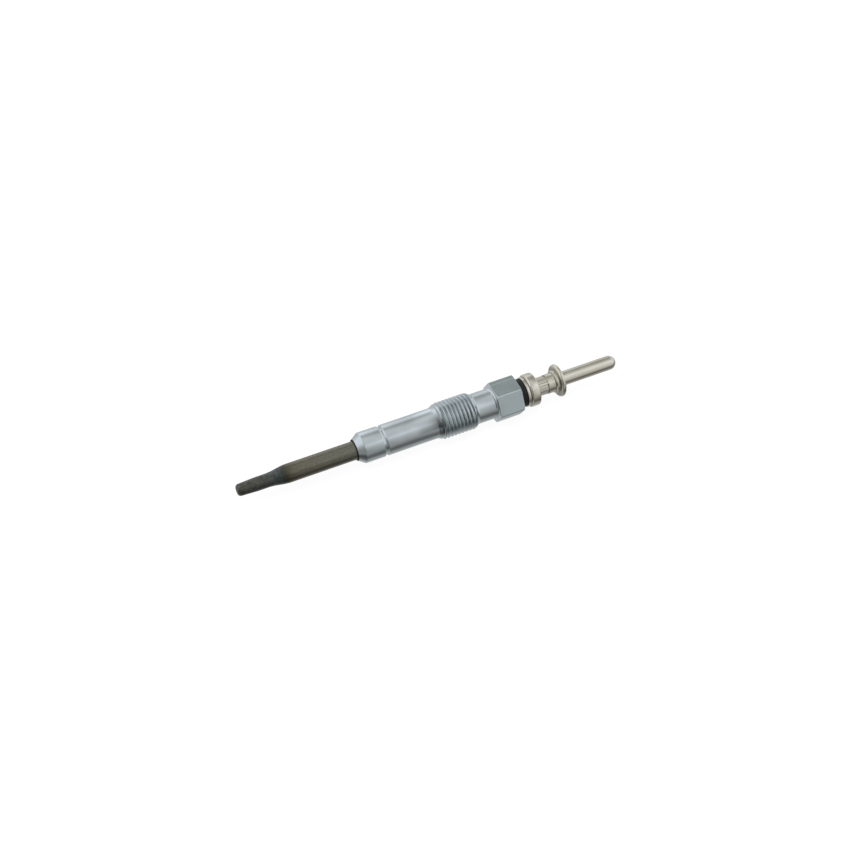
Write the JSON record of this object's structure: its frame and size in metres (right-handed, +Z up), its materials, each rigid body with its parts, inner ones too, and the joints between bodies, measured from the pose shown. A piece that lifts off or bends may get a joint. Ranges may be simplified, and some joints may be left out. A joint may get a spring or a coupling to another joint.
{
  "type": "diesel glow plug",
  "caption": "Metal-sheathed diesel glow plug with a swaged heating tip, sealing cone, threaded steel body, hexagon and a push-on pin terminal.",
  "frame": {"origin": "middle of the plug's length and width, on the surface that it lies on", "axes": "+X along the plug's axis from the heating tip to the terminal pin, +Z up, a flat of the hexagon facing down"},
  "size_m": [0.1316, 0.0138, 0.012],
  "materials": {
    "plated_steel": "satin zinc plating over turned steel",
    "heated_alloy": "dark satin alloy with heat tints at the tip",
    "coil_wire": "drawn resistance wire",
    "pressed_powder": "matte pressed powder",
    "seal_rubber": "matte",
    "rod_steel": "drawn steel",
    "black_plastic": "matte moulded",
    "nickel_plate": "satin nickel plating over turned steel"
  },
  "bodies": {
    "root": {"plug_body": "plated_steel", "glow_tube": "heated_alloy", "heating_coil": "coil_wire", "control_coil": "coil_wire", "insulating_powder": "pressed_powder", "tube_seal": "seal_rubber", "connecting_rod": "rod_steel", "body_seal": "seal_rubber", "insulating_washer": "black_plastic", "terminal_pin": "nickel_plate"}
  },
  "joints": []
}
